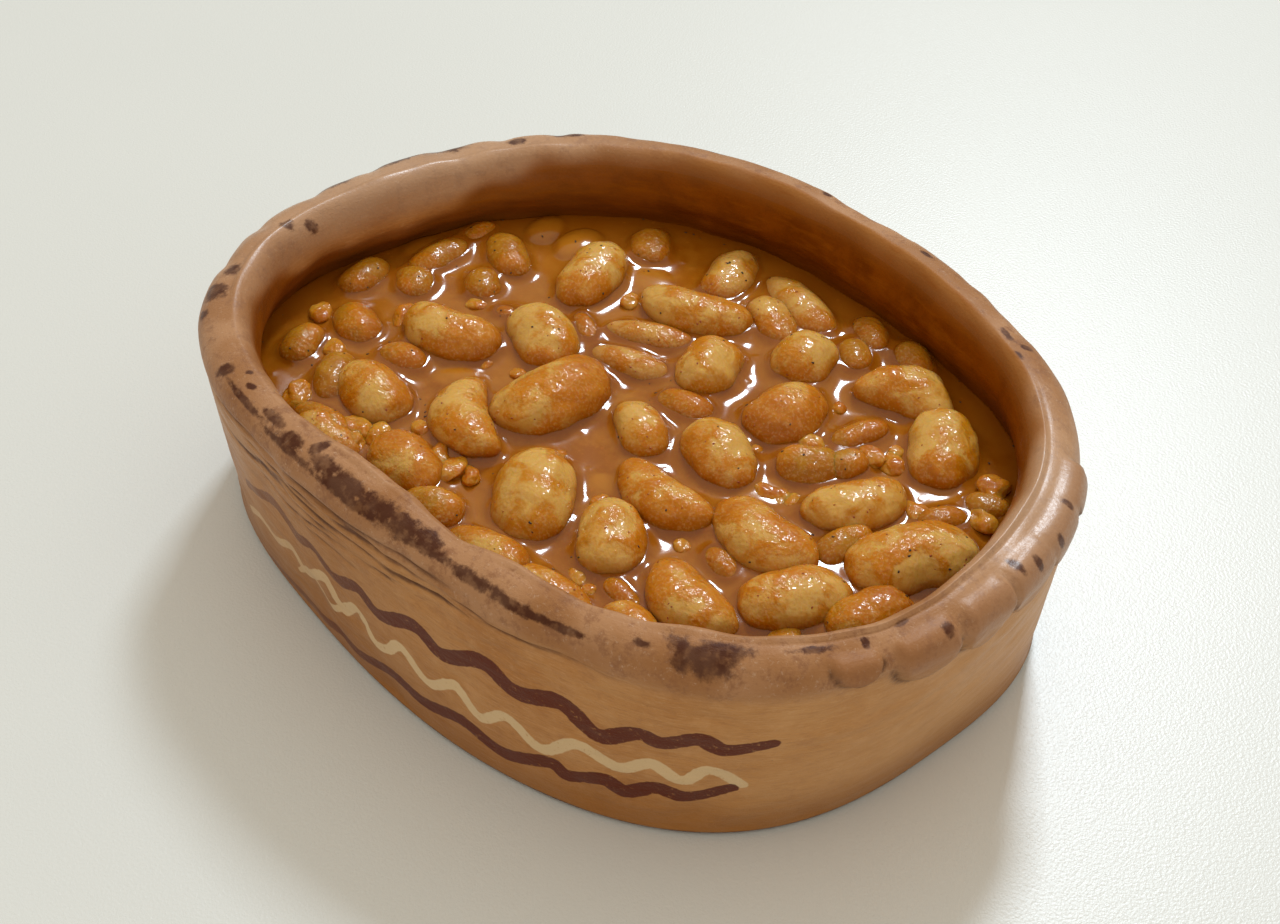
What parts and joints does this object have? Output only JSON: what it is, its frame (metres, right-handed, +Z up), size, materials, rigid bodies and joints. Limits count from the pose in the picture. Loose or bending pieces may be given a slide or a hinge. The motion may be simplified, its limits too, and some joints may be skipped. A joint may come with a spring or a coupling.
{
  "type": "baked beans in an oval clay pot",
  "caption": "Large white beans baked in orange-brown tomato sauce, served in their own oval hand-pressed clay pot with a rolled lip, pressed flaps at both ends and painted wavy lines.",
  "frame": {"origin": "middle of the pot's flat base, on the surface it stands on", "axes": "+X along the oval's long axis, towards the end whose folded flaps hang lowest; +Y across it, away from the painted side; +Z up"},
  "size_m": [0.1904, 0.1419, 0.0547],
  "materials": {
    "clay": "burnished unglazed earthenware, pinkish tan outside and orange-brown inside, with painted slip lines",
    "beans_in_sauce": "wet, glossy, orange-brown sauce and pale gold beans"
  },
  "bodies": {
    "root": {"clay_pot": "clay", "baked_beans": "beans_in_sauce"}
  },
  "joints": []
}
